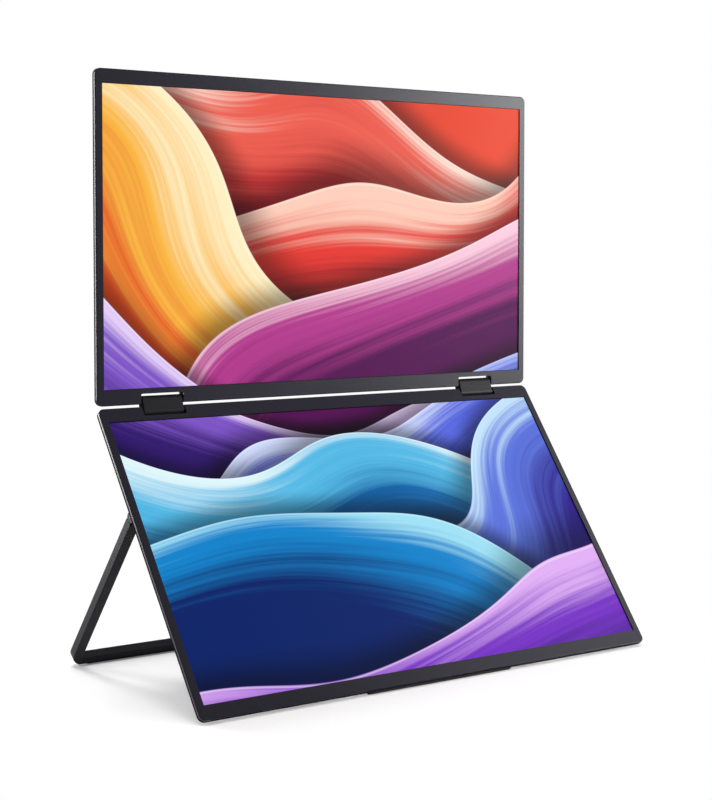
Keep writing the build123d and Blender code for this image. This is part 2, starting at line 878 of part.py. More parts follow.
def button(name, index):
    """Oblong key in the bay's side, held from inside by its flange."""
    flange_face = side_inner - slip_gap
    with BuildPart() as key:
        with BuildSketch(across(lower_plane, button_side * (side_face + button_proud), socket_line)):
            with Locations((button_place(index), 0)):
                SlotOverall(button_length, button_height)
        extrude(amount=-button_side * (side_face + button_proud - flange_face))
        with BuildSketch(across(lower_plane, button_side * flange_face, socket_line)):
            with Locations((button_place(index), 0)):
                RectangleRounded(
                    button_length + 2 * button_flange, button_height + button_flange, button_flange
                )
        extrude(amount=-button_side * button_flange_thickness)
        with BuildSketch(across(lower_plane, button_side * flange_face, socket_line)):
            with Locations((button_place(index), 0)):
                Circle(button_height / 2)
        extrude(amount=-button_side * (button_flange_thickness + button_stem))
    write(key, name)


def button_board():
    """Upright board on the bay's floor with one switch behind each key."""
    stem_end = side_inner - slip_gap - button_flange_thickness - button_stem
    plunger_face = stem_end - button_travel - press_gap
    body_face = plunger_face - switch_plunger
    board_face = body_face - switch_body
    with BuildPart() as switches:
        for index in range(len(buttons)):
            with BuildSketch(across(lower_plane, button_side * board_face, socket_line)):
                with Locations((button_place(index), 0)):
                    Rectangle(switch_size, switch_size)
            extrude(amount=button_side * switch_body)
            with BuildSketch(across(lower_plane, button_side * body_face, socket_line)):
                with Locations((button_place(index), 0)):
                    Circle(switch_plunger_diameter / 2)
            extrude(amount=button_side * switch_plunger)
    write(switches, "button_switches")

    first = button_place(0) - button_length / 2 - button_board_margin
    last = button_place(len(buttons) - 1) + button_length / 2 + button_board_margin
    with BuildPart() as board:
        with BuildSketch(lower_plane.offset(bay_floor)):
            with Locations((button_side * (board_face - board_thickness / 2), (first + last) / 2)):
                Rectangle(board_thickness, last - first)
        extrude(amount=button_board_height)
    write(board, "button_board")


def foot_strip():
    """Rubber strip on the lower module's outer edge, cut flat where it meets the table."""
    rim = casing_rim(lower_plane)
    with BuildPart() as strip:
        with BuildSketch(lower_plane.offset(-foot_back)):
            with Locations((0, outer_edge + (foot_proud - foot_root) / 2)):
                RectangleRounded(foot_length, foot_proud + foot_root, foot_proud)
        extrude(amount=foot_back + foot_front)
        add(rim, mode=Mode.SUBTRACT)
        split(bisect_by=Plane.XY, keep=Keep.TOP)
    write(strip, "foot_strip")


def stand_bar_outline(plane):
    """U of the stand: two legs from the pivots and the bar that stands on the table."""
    start = eye_radius + arm_gap
    inner_half = stand_half - stand_width
    inner_length = stand_length - stand_width - start
    with BuildSketch(plane) as sketch:
        with Locations((0, start)):
            Rectangle(2 * stand_half, stand_length - start, align=(Align.CENTER, Align.MIN))
            Rectangle(
                2 * inner_half, inner_length, align=(Align.CENTER, Align.MIN), mode=Mode.SUBTRACT
            )
        fillet(sketch.vertices().group_by(Axis.Y)[-1], stand_corner)
        fillet(sketch.vertices().group_by(Axis.Y)[1], stand_inner_corner)
    return sketch.sketch


def stand_leg_places(along):
    """A place on both legs at a distance from the pivot, in the stand's plane."""
    return [(sign * (stand_half - stand_width / 2), along) for sign in sides.values()]


def stand_frame():
    """Bar frame with pockets for the hinge arms and a flat for the rubber strip."""
    plane = stand_plane
    with BuildPart(plane.offset(eye_radius)) as frame:
        extrude(stand_bar_outline(plane.offset(-eye_radius)), amount=stand_thickness)
        fillet(back_face(frame, plane).edges() + front_face(frame, plane).edges(), stand_edge_round)
        with BuildSketch(plane.offset(eye_radius - arm_thickness)):
            with Locations(*stand_leg_places(arm_length / 2)):
                Rectangle(arm_width, arm_length)
        extrude(amount=arm_thickness, mode=Mode.SUBTRACT)
        with Locations(*stand_leg_places(arm_screw_place)):
            Hole(screw_radius + running_gap, arm_screw_length)
        split(bisect_by=Plane.XY.offset(strip_thickness), keep=Keep.TOP)
    write(frame, "stand_frame")

    with BuildPart() as strip:
        with BuildSketch(plane.offset(-eye_radius)):
            with Locations((0, stand_length - stand_width / 2)):
                Rectangle(2 * (stand_half - strip_end_gap), stand_width)
        extrude(amount=stand_thickness)
        split(bisect_by=Plane.XY.offset(strip_thickness), keep=Keep.BOTTOM)
        split(bisect_by=Plane.XY, keep=Keep.TOP)
    write(strip, "stand_foot_strip")
    screw_plane = plane.offset(eye_radius)
    sunk_screws("stand_arm_screws", screw_plane, stand_leg_places(arm_screw_place), arm_screw_length)


def stand_hinge(side):
    """Pivot of one stand leg: arm with its eye, pin, bracket in the bay, disc springs and nut."""
    sign = local_side(lower_plane, side)
    leg_inner = stand_half - stand_width
    with BuildPart(stand_plane.offset(eye_radius)) as arm:
        with BuildSketch(across(stand_plane, sign * leg_inner)):
            Circle(eye_radius)
        extrude(amount=sign * stand_width)
        with BuildSketch(stand_plane.offset(eye_radius - arm_thickness)):
            with Locations((sign * (leg_inner + stand_width / 2), arm_length / 2)):
                Rectangle(arm_width, arm_length)
        extrude(amount=arm_thickness)
        with BuildSketch(across(stand_plane, sign * leg_inner)):
            Circle(pin_radius)
        extrude(amount=sign * stand_width, mode=Mode.SUBTRACT)
        with Locations((sign * (leg_inner + stand_width / 2), arm_screw_place)):
            CounterSinkHole(
                screw_radius + running_gap,
                screw_head_radius,
                arm_thickness,
                counter_sink_angle=sink_angle,
            )
    write(arm, f"stand_hinge_arm_{side}")

    spring_outer = bracket_outer - bracket_length
    nut_outer = spring_outer - washer_count * washer_thickness
    pin_inner = nut_outer - nut_thickness
    with BuildPart() as pin:
        with BuildSketch(across(stand_plane, sign * pin_inner)):
            Circle(pin_radius)
        extrude(amount=sign * (stand_half - pin_inner))
    write(pin, f"stand_pin_{side}")

    with BuildPart() as springs:
        for index in range(washer_count):
            with BuildSketch(across(stand_plane, sign * (spring_outer - index * washer_thickness))):
                Circle(washer_diameter / 2)
                Circle(pin_radius, mode=Mode.SUBTRACT)
            extrude(amount=-sign * (washer_thickness - running_gap))
        with BuildSketch(across(stand_plane, sign * nut_outer)):
            RegularPolygon(nut_width / 2, nut_sides, major_radius=False)
            Circle(pin_radius, mode=Mode.SUBTRACT)
        extrude(amount=-sign * nut_thickness)
    write(springs, f"stand_pin_springs_{side}")

    with BuildPart(lower_plane.offset(flange_front)) as bracket:
        with BuildSketch(lower_plane.offset(flange_back)):
            with Locations((sign * bracket_middle, stand_pivot)):
                Rectangle(bracket_length, 2 * bracket_reach)
        extrude(amount=bracket_flange)
        with Locations(*[place for place in bracket_hole_places() if place[0] * sign > 0]):
            Hole(screw_radius + slip_gap)
        with BuildSketch(across(lower_plane, sign * bracket_outer, stand_axis)):
            with Locations((stand_pivot, 0)):
                Circle(bracket_diameter / 2)
        extrude(amount=-sign * bracket_length)
        with BuildSketch(across(lower_plane, sign * bracket_outer, stand_axis)):
            with Locations((stand_pivot, 0)):
                Circle(pin_radius + running_gap)
        extrude(amount=-sign * bracket_length, mode=Mode.SUBTRACT)
    write(bracket, f"stand_bracket_{side}")


# Both display modules
upper_field_end = outer_edge - rim_width
lower_field_end = (bay_start + bay_step) / 2
rear_cover("upper_rear_cover", upper_plane, upper_field_end, False)
rear_cover("lower_rear_cover", lower_plane, lower_field_end, True)
for module, module_plane in modules.items():
    front_bezel(f"{module}_front_bezel", module_plane)
    display_stack(module, module_plane)
    for side in sides:
        side_sign = local_side(module_plane, side)
        hinge_leaf(f"{module}_hinge_leaf_{side}", module_plane, side_sign)
        hinge_shaft(f"{module}_hinge_shaft_{side}", module_plane, side_sign)
    leaf_plane = module_plane.offset(leaf_front)
    leaf_screw_reach = leaf_thickness + leaf_screw_length - slip_gap
    sunk_screws(f"{module}_hinge_screws", leaf_plane, leaf_hole_places(), leaf_screw_reach)

# Hinge knuckles and the cable through the left one
for side in sides:
    hinge_knuckle(side)
friction_clips()
with BuildPart() as cable_link:
    add(cable_loop(cable_radius))
write(cable_link, "signal_cable_link")

# Electronics of the lower module and the cable to the upper one
board_end_x, board_end_y = main_board()
signal_cable("signal_cable_lower", lower_plane, board_end_x, board_end_y, main_front + plug_height / 2)
driver_end_x = local_side(upper_plane, "left") * driver_width / 2
driver_end_y = active_start + driver_gap + driver_height / 2
driver_plug = driver_back - plug_height / 2
signal_cable("signal_cable_upper", upper_plane, driver_end_x, driver_end_y, driver_plug)
panel_ribbon()
for side in sides:
    speaker(side)
for socket_index, socket_name in enumerate(socket_widths):
    socket(socket_name, socket_index)
for button_index, button_name in enumerate(buttons):
    button(button_name, button_index)
button_board()

# Foot strip and stand
foot_strip()
stand_frame()
for side in sides:
    stand_hinge(side)
flange_plane = lower_plane.offset(flange_front)
cap_screws("stand_bracket_screws", flange_plane, bracket_hole_places(), flange_front - bay_floor)

print("lower hinge axis y, z:", round(lower_axis_y, 4), round(lower_axis_z, 4))
print("upper hinge axis y, z:", round(upper_axis_y, 4), round(upper_axis_z, 4))
print("stand pivot y, z:", round(pivot_y, 4), round(pivot_z, 4))
print("stand opened by:", round(stand_open_angle, 3))
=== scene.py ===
"""Looks of a dual portable monitor: satin charcoal casings, lit screens, plated sockets and a frame stand.

Metres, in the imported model's own frame. Colours are written as sRGB levels from 0 to 255.
"""

import json
from math import cos, pi, radians, sin

import bmesh
import bpy
import numpy as np
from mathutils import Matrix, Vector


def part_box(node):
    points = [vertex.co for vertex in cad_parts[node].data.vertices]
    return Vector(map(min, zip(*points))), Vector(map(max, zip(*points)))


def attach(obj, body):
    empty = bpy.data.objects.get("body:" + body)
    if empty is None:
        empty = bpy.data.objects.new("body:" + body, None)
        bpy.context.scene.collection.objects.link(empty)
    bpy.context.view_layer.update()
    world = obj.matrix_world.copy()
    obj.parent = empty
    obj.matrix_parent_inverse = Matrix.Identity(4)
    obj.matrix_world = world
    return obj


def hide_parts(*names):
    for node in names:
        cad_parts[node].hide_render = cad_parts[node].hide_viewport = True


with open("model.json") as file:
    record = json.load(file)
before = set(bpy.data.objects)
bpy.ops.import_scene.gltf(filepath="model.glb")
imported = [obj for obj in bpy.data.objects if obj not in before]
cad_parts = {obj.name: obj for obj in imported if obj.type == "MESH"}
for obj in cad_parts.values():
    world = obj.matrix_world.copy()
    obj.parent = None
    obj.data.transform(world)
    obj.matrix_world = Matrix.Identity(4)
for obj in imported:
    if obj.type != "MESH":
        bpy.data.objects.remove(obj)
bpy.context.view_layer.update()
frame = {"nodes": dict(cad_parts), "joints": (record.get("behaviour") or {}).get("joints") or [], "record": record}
scene = bpy.context.scene
joint_place = {joint["name"]: np.array(joint.get("pos_m") or (0, 0, 0)) for joint in frame["joints"]}

mm = 0.001

# Sizes that the source of the solids uses too
lower_lean = radians(37.0)
stand_lean = radians(37.0 - 76.281)
active_half = 204.75 * mm
active_height = 230.4 * mm
active_start = 9.8 * mm
parting = 2.5 * mm
knuckle_centre = 155.0 * mm
knuckle_half = 17.5 * mm
arm_screw_across = 203.9 * mm
arm_screw_along = 18.0 * mm
stand_half_thickness = 4.1 * mm
screw_head_radius = 1.75 * mm
socket_floor_depth = 6.4 * mm
tongue_reach = 5.0 * mm
tongue_blade = 0.7 * mm

# Where a rear cover has its clear coat: distances from the middle plane, and heights above the parting
side_start, side_full = 202.0 * mm, 204.0 * mm
rim_coat_end, rim_coat_full = -1.5 * mm, -1.1 * mm
back_coat_full, back_coat_end = -4.5 * mm, -4.3 * mm

# Where a knuckle has its clear coat: distances from the knuckle's own middle
knuckle_coat_full, knuckle_coat_end = knuckle_half - 0.6 * mm, knuckle_half - 0.2 * mm


def leaning_axes(lean, side):
    """Rows are a leaning plane's own x, y and z: along the hinge, away from it, and out of the screen."""
    out = np.array((0, -cos(lean), sin(lean)))
    along = np.array((side, 0, 0))
    return np.array((along, np.cross(out, along), out))


upper_axes = leaning_axes(0.0, 1)
lower_axes = leaning_axes(lower_lean, -1)
stand_axes = leaning_axes(stand_lean, -1)
upper_axis = joint_place["upper_hinge_turn"]
lower_axis = joint_place["lower_hinge_turn"]
stand_pivot = joint_place["stand_fold"]


# Shader building


def linear(red, green, blue):
    """sRGB levels as linear light, with full alpha."""
    level = np.array((red, green, blue)) / 255
    light = np.where(level <= 0.04045, level / 12.92, ((level + 0.055) / 1.055) ** 2.4)
    return (*light.tolist(), 1.0)


def put(tree, kind, inputs=None, **settings):
    """Adds a shader node, sets its options, and fills its inputs with values or links."""
    node = tree.nodes.new("ShaderNode" + kind)
    for name, value in settings.items():
        setattr(node, name, value)
    for key, value in (inputs or {}).items():
        if isinstance(value, bpy.types.NodeSocket):
            tree.links.new(value, node.inputs[key])
        else:
            node.inputs[key].default_value = value
    return node


def work(tree, operation, *values):
    """One Math node."""
    return put(tree, "Math", dict(enumerate(values)), operation=operation).outputs[0]


def blend(tree, factor, first, second, mode="MIX"):
    """One colour Mix node."""
    return put(tree, "Mix", {0: factor, 6: first, 7: second}, data_type="RGBA", blend_type=mode).outputs[2]


def ease(tree, value, start, end, low=0.0, high=1.0):
    """A value's smooth step from one level to another."""
    limits = {0: value, 1: start, 2: end, 3: low, 4: high}
    return put(tree, "MapRange", limits, interpolation_type="SMOOTHSTEP").outputs[0]


def new_group(name, inputs, outputs):
    """An empty node group with named sockets. A default value's type gives each input socket's type."""
    group = bpy.data.node_groups.new(name, "ShaderNodeTree")
    for label, value in inputs.items():
        kind = "Float"
        if isinstance(value, tuple):
            kind = "Color" if len(value) == 4 else "Vector"
        socket = group.interface.new_socket(name=label, in_out="INPUT", socket_type="NodeSocket" + kind)
        socket.default_value = value
    for label, kind in outputs.items():
        group.interface.new_socket(name=label, in_out="OUTPUT", socket_type="NodeSocket" + kind)
    return group, group.nodes.new("NodeGroupInput").outputs, group.nodes.new("NodeGroupOutput").inputs


def use(tree, group, inputs):
    """A node group placed in a material, with its own values."""
    node = tree.nodes.new("ShaderNodeGroup")
    node.node_tree = group
    for key, value in inputs.items():
        if isinstance(value, bpy.types.NodeSocket):
            tree.links.new(value, node.inputs[key])
        else:
            node.inputs[key].default_value = value
    return node.outputs


def new_finish(name):
    """An empty material: its tree, its Principled shader's inputs, and its Object coordinates."""
    material = bpy.data.materials.new(name)
    material.use_nodes = True
    tree = material.node_tree
    shader = tree.nodes["Principled BSDF"]
    place = put(tree, "TexCoord").outputs["Object"]
    return material, tree, shader.inputs, place


def bump(tree, shader, height, strength, distance):
    """Feeds a height to the shader's normal."""
    raised = put(tree, "Bump", {"Height": height, "Strength": strength, "Distance": distance})
    tree.links.new(raised.outputs[0], shader["Normal"])


def make_satin_grain():
    """Fine speckle of a satin coat: small grain for bump, and broad soft patches of tone and gloss."""
    group, given, out = new_group(
        "satin_grain",
        {"Place": (0.0, 0.0, 0.0), "Grain": 2200.0, "Patch": 11.0},
        {"Height": "Float", "Tone": "Float", "Gloss": "Float"},
    )
    grain = put(group, "TexNoise", {"Vector": given["Place"], "Scale": given["Grain"], "Detail": 2.0})
    patch = put(group, "TexNoise", {"Vector": given["Place"], "Scale": given["Patch"], "Detail": 4.0})
    smear = put(group, "Mapping", {"Vector": given["Place"], "Scale": (1.0, 6.0, 2.5)})
    streak = put(group, "TexNoise", {"Vector": smear.outputs[0], "Scale": given["Patch"], "Detail": 5.0})
    speckle = work(group, "MULTIPLY", grain.outputs[0], 0.7)
    tone = work(group, "MULTIPLY_ADD", patch.outputs[0], 0.3, speckle)
    group.links.new(grain.outputs[0], out["Height"])
    group.links.new(tone, out["Tone"])
    group.links.new(ease(group, streak.outputs[0], 0.3, 0.75), out["Gloss"])
    return group


def make_seam_line():
    """Dark line where two casing halves meet: a band about a plane, given by its normal and its offset.

    It also gives the height above that plane.
    """
    group, given, out = new_group(
        "seam_line",
        {"Place": (0.0, 0.0, 0.0), "Facing": (0.0, -1.0, 0.0), "Offset": 0.0, "Width": 0.00014},
        {"Mask": "Float", "Height": "Float"},
    )
    along = put(group, "VectorMath", {0: given["Place"], 1: given["Facing"]}, operation="DOT_PRODUCT")
    height = work(group, "SUBTRACT", along.outputs["Value"], given["Offset"])
    away = work(group, "ABSOLUTE", height)
    group.links.new(ease(group, work(group, "DIVIDE", away, given["Width"]), 0.4, 1.0, 1.0, 0.0), out["Mask"])
    group.links.new(height, out["Height"])
    return group


def make_drawn_lines():
    """Fine lines of ground or drawn metal: noise stretched along x."""
    group, given, out = new_group(
        "drawn_lines",
        {"Place": (0.0, 0.0, 0.0), "Stretch": (60.0, 4000.0, 4000.0)},
        {"Height": "Float", "Gloss": "Float"},
    )
    stretched = put(group, "Mapping", {"Vector": given["Place"]})
    group.links.new(given["Stretch"], stretched.inputs["Scale"])
    line = put(group, "TexNoise", {"Vector": stretched.outputs[0], "Scale": 1.0, "Detail": 3.0})
    group.links.new(line.outputs[0], out["Height"])
    group.links.new(ease(group, line.outputs[0], 0.3, 0.7), out["Gloss"])
    return group


def make_wave_fold():
    """One silky fold laid over a picture.

    Its upper edge is a level, plus a tilt across, plus two sines of which the second is finer. Below the edge
    the colour runs from lip to middle to deep, with streaks that follow the edge, and above it the picture
    behind is shaded.
    """
    group, given, out = new_group(
        "wave_fold",
        {
            "Behind": (0.0, 0.0, 0.0, 1.0),
            "Across": 0.0,
            "Up": 0.0,
            "Level": 0.0,
            "Tilt": 0.0,
            "Swing": 0.03,
            "Waves": 10.0,
            "Phase": 0.0,
            "Depth": 0.1,
            "Lip": (1.0, 1.0, 1.0, 1.0),
            "Middle": (0.5, 0.5, 0.5, 1.0),
            "Deep": (0.1, 0.1, 0.1, 1.0),
        },
        {"Colour": "Color"},
    )
    turn = work(group, "MULTIPLY_ADD", given["Across"], given["Waves"], given["Phase"])
    finer = work(group, "SINE", work(group, "MULTIPLY_ADD", turn, 2.3, given["Phase"]))
    swell = work(group, "MULTIPLY_ADD", finer, 0.28, work(group, "SINE", turn))
    slope = work(group, "MULTIPLY_ADD", given["Across"], given["Tilt"], given["Level"])
    edge = work(group, "MULTIPLY_ADD", swell, given["Swing"], slope)
    below = work(group, "SUBTRACT", edge, given["Up"])
    cover = ease(group, below, -0.0003, 0.0003)
    ripple = work(group, "DIVIDE", below, given["Depth"])
    for run, lines, weight in ((2.2, 70.0, 0.75), (3.0, 420.0, 0.30)):
        lane = {0: work(group, "MULTIPLY", given["Across"], run), 1: work(group, "MULTIPLY", below, lines)}
        place = put(group, "CombineXYZ", lane | {2: given["Phase"]}).outputs[0]
        streak = put(group, "TexNoise", {"Vector": place, "Scale": 1.0, "Detail": 4.0, "Roughness": 0.6})
        ripple = work(group, "MULTIPLY_ADD", work(group, "SUBTRACT", streak.outputs[0], 0.5), weight, ripple)
    sway = work(group, "SINE", work(group, "MULTIPLY_ADD", turn, 1.4, 1.0))
    ripple = work(group, "MULTIPLY_ADD", sway, 0.13, ripple)
    tone = blend(group, ease(group, ripple, -0.05, 0.36), given["Lip"], given["Middle"])
    tone = blend(group, ease(group, ripple, 0.34, 0.95), tone, given["Deep"])
    from_lip = work(group, "ABSOLUTE", work(group, "SUBTRACT", below, 0.0011))
    glint = ease(group, from_lip, 0.0, 0.001, 0.35, 0.0)
    tone = blend(group, glint, tone, (1.0, 1.0, 1.0, 1.0))
    shade = ease(group, below, -0.030, 0.0, 1.0, 0.34)
    shading = put(group, "CombineColor", {0: shade, 1: shade, 2: shade}).outputs[0]
    behind = blend(group, 1.0, given["Behind"], shading, "MULTIPLY")
    group.links.new(blend(group, cover, behind, tone), out["Colour"])
    return group


def make_slow_swirl():
    """Bends a picture's two coordinates: each is shifted by a sine of a slanted sum of both."""
    group, given, out = new_group(
        "slow_swirl",
        {"Across": 0.0, "Up": 0.0},
        {"Across": "Float", "Up": "Float"},
    )
    shifts = {"Across": (7.0, 19.0, 1.2, 0.034), "Up": (-9.0, 15.0, 0.3, 0.020)}
    for name, (along, upward, phase, size) in shifts.items():
        turn = work(group, "MULTIPLY_ADD", given["Across"], along, phase)
        turn = work(group, "MULTIPLY_ADD", given["Up"], upward, turn)
        bent = work(group, "MULTIPLY_ADD", work(group, "SINE", turn), size, given[name])
        group.links.new(bent, out[name])
    return group


satin_grain = make_satin_grain()
seam_line = make_seam_line()
drawn_lines = make_drawn_lines()
wave_fold = make_wave_fold()
slow_swirl = make_slow_swirl()


# Finishes


def off_middle(tree, place):
    """Distance from the object's middle plane."""
    return work(tree, "ABSOLUTE", put(tree, "SeparateXYZ", {0: place}).outputs["X"])


def cover_gloss(rim_gloss, back_gloss=0.3):
    """Clear coat of a rear cover: on the front half of its left and right sides, and on its back."""

    def weight(tree, place, seam):
        beside = ease(tree, off_middle(tree, place), side_start, side_full)
        before = ease(tree, seam["Height"], rim_coat_end, rim_coat_full, 0.0, rim_gloss)
        behind = ease(tree, seam["Height"], back_coat_full, back_coat_end, back_gloss, 0.0)
        return work(tree, "MAXIMUM", work(tree, "MULTIPLY", beside, before), behind)

    return weight


def knuckle_gloss(tree, place, _seam):
    """Clear coat of a knuckle: all round it, but not on its two end faces."""
    from_centre = work(tree, "ABSOLUTE", work(tree, "SUBTRACT", off_middle(tree, place), knuckle_centre))
    return ease(tree, from_centre, knuckle_coat_full, knuckle_coat_end, 0.15, 0.0)


def satin_coat(name, dark, light, rough, axes=None, origin=None, gloss=0.1, coat=None):
    """Satin charcoal coat.

    With a module's axes it has the dark seam between bezel and rear cover. The coat is a function that gives
    the weight of a clear coat.
    """
    material, tree, shader, place = new_finish(name)
    grain = use(tree, satin_grain, {"Place": place})
    colour = blend(tree, grain["Tone"], linear(*dark), linear(*light))
    seam = None
    if axes is not None:
        offset = float(np.dot(origin, axes[2]) + parting)
        seam = use(tree, seam_line, {"Place": place, "Facing": tuple(axes[2]), "Offset": offset})
        colour = blend(tree, seam["Mask"], colour, linear(8, 8, 9))
    if coat:
        tree.links.new(coat(tree, place, seam), shader["Coat Weight"])
        shader["Coat Roughness"].default_value = rough
    tree.links.new(colour, shader["Base Color"])
    tree.links.new(ease(tree, grain["Gloss"], 0.0, 1.0, rough - 0.012, rough + 0.012), shader["Roughness"])
    shader["Specular IOR Level"].default_value = gloss
    bump(tree, shader, grain["Height"], 0.12, 0.00003)
    return material


def screen_picture(name, axes, origin, downwards):
    """Lit panel: a red ground under layered folds, warm at the top and blue below, inside a black border."""
    material, tree, shader, place = new_finish(name)
    local = [
        put(tree, "VectorMath", {0: place, 1: tuple(axis)}, operation="DOT_PRODUCT").outputs["Value"]
        for axis in axes
    ]
    turned = -1.0 if downwards else 1.0
    across = work(tree, "MULTIPLY", local[0], turned)
    height = work(tree, "SUBTRACT", local[1], float(np.dot(origin, axes[1])))
    up = work(tree, "MULTIPLY", height, turned)
    bent = use(tree, slow_swirl, {"Across": across, "Up": up})
    picture = blend(tree, ease(tree, across, -0.2, 0.2), linear(182, 8, 28), linear(236, 74, 44))
    # Level, tilt, swing, waves, phase and depth of each fold, then its colours from lip to deep
    folds = [
        (0.222, -0.30, 0.030, 11.0, 0.6, 0.11, (255, 224, 208), (236, 92, 76), (178, 14, 32)),
        (0.150, 0.42, 0.034, 10.0, 2.4, 0.10, (254, 206, 186), (230, 56, 46), (146, 6, 28)),
        (0.112, -0.46, 0.040, 9.0, 4.1, 0.12, (255, 240, 196), (250, 184, 66), (226, 80, 34)),
        (0.064, 0.34, 0.042, 8.5, 1.0, 0.10, (252, 206, 224), (180, 58, 142), (84, 10, 82)),
        (0.016, -0.40, 0.044, 9.5, 5.2, 0.10, (228, 206, 248), (126, 84, 198), (48, 22, 108)),
        (-0.040, 0.36, 0.040, 10.0, 3.0, 0.11, (210, 222, 255), (88, 104, 224), (30, 32, 136)),
        (-0.066, -0.38, 0.044, 9.0, 0.4, 0.10, (222, 246, 252), (84, 186, 230), (4, 98, 166)),
        (-0.118, 0.30, 0.036, 10.5, 4.6, 0.09, (196, 228, 252), (92, 116, 222), (44, 26, 140)),
        (-0.160, -0.28, 0.034, 10.0, 1.8, 0.09, (160, 226, 246), (12, 132, 204), (4, 34, 104)),
        (-0.205, 0.22, 0.026, 11.0, 5.6, 0.09, (226, 176, 246), (118, 48, 196), (38, 12, 104)),
    ]
    for level, tilt, swing, waves, phase, depth, lip, middle, deep in folds:
        values = {"Behind": picture, "Across": bent["Across"], "Up": bent["Up"], "Level": level, "Tilt": tilt}
        values |= {"Swing": swing, "Waves": waves, "Phase": phase, "Depth": depth}
        values |= {"Lip": linear(*lip), "Middle": linear(*middle), "Deep": linear(*deep)}
        picture = use(tree, wave_fold, values)["Colour"]
    beside = work(tree, "LESS_THAN", work(tree, "ABSOLUTE", across), active_half)
    centred = work(tree, "ABSOLUTE", work(tree, "SUBTRACT", height, active_start + active_height / 2))
    inside = work(tree, "MULTIPLY", beside, work(tree, "LESS_THAN", centred, active_height / 2))
    front = work(tree, "SUBTRACT", local[2], float(np.dot(origin, axes[2])))
    lit = work(tree, "MULTIPLY", inside, work(tree, "GREATER_THAN", front, parting - 0.05 * mm))
    tree.links.new(blend(tree, lit, (0.0, 0.0, 0.0, 1.0), picture), shader["Emission Color"])
    shader["Emission Strength"].default_value = 1.0
    grain = use(tree, satin_grain, {"Place": place, "Grain": 5200.0})
    tree.links.new(blend(tree, grain["Tone"], linear(6, 6, 7), linear(12, 12, 14)), shader["Base Color"])
    tree.links.new(ease(tree, grain["Gloss"], 0.0, 1.0, 0.34, 0.42), shader["Roughness"])
    shader["Specular IOR Level"].default_value = 0.02
    bump(tree, shader, grain["Height"], 0.06, 0.00001)
    return material


def steel(name, dark, light, rough, stretch=(60.0, 4000.0, 4000.0)):
    """Ground or plated steel with fine drawn lines."""
    material, tree, shader, place = new_finish(name)
    lines = use(tree, drawn_lines, {"Place": place, "Stretch": stretch})
    tree.links.new(blend(tree, lines["Gloss"], linear(*dark), linear(*light)), shader["Base Color"])
    tree.links.new(ease(tree, lines["Gloss"], 0.0, 1.0, rough + 0.06, rough - 0.05), shader["Roughness"])
    shader["Metallic"].default_value = 1.0
    bump(tree, shader, lines["Height"], 0.1, 0.00002)
    return material


def rubber(name, dark, light, pit):
    """Matte rubber with a fine pitted skin."""
    material, tree, shader, place = new_finish(name)
    grain = use(tree, satin_grain, {"Place": place, "Grain": pit, "Patch": 30.0})
    pits = put(tree, "TexVoronoi", {"Vector": place, "Scale": pit})
    tree.links.new(blend(tree, grain["Tone"], linear(*dark), linear(*light)), shader["Base Color"])
    tree.links.new(ease(tree, grain["Gloss"], 0.0, 1.0, 0.72, 0.86), shader["Roughness"])
    shader["Specular IOR Level"].default_value = 0.2
    bump(tree, shader, pits.outputs["Distance"], 0.3, 0.00008)
    return material


def moulded(name, dark, light, rough, grain_scale=1500.0):
    """Moulded plastic with a spark-eroded skin."""
    material, tree, shader, place = new_finish(name)
    grain = use(tree, satin_grain, {"Place": place, "Grain": grain_scale, "Patch": 40.0})
    tree.links.new(blend(tree, grain["Tone"], linear(*dark), linear(*light)), shader["Base Color"])
    tree.links.new(ease(tree, grain["Gloss"], 0.0, 1.0, rough - 0.05, rough + 0.06), shader["Roughness"])
    shader["Specular IOR Level"].default_value = 0.3
    bump(tree, shader, grain["Height"], 0.2, 0.00005)
    return material


def circuit_board():
    """Green lacquer over copper tracks: brick-shaped runs on a fine grid."""
    material, tree, shader, place = new_finish("circuit_board")
    tracks = put(tree, "TexBrick", {"Vector": place, "Scale": 260.0, "Mortar Size": 0.09, "Brick Width": 3.2})
    grain = use(tree, satin_grain, {"Place": place, "Grain": 1800.0, "Patch": 60.0})
    lacquer = blend(tree, grain["Tone"], linear(10, 62, 34), linear(16, 84, 46))
    tree.links.new(blend(tree, tracks.outputs["Fac"], lacquer, linear(58, 118, 62)), shader["Base Color"])
    tree.links.new(ease(tree, tracks.outputs["Fac"], 0.0, 1.0, 0.32, 0.42), shader["Roughness"])
    bump(tree, shader, tracks.outputs["Fac"], 0.2, 0.00004)
    return material


def ribbon_cable():
    """Amber film over parallel copper lines that run across the hinge direction."""
    material, tree, shader, place = new_finish("ribbon_cable")
    lines = put(tree, "TexWave", {"Vector": place, "Scale": 320.0, "Distortion": 0.0}, bands_direction="X")
    mask = ease(tree, lines.outputs["Fac"], 0.3, 0.6)
    tree.links.new(blend(tree, mask, linear(150, 92, 30), linear(196, 134, 62)), shader["Base Color"])
    tree.links.new(ease(tree, mask, 0.0, 1.0, 0.3, 0.38), shader["Roughness"])
    bump(tree, shader, mask, 0.2, 0.00004)
    return material


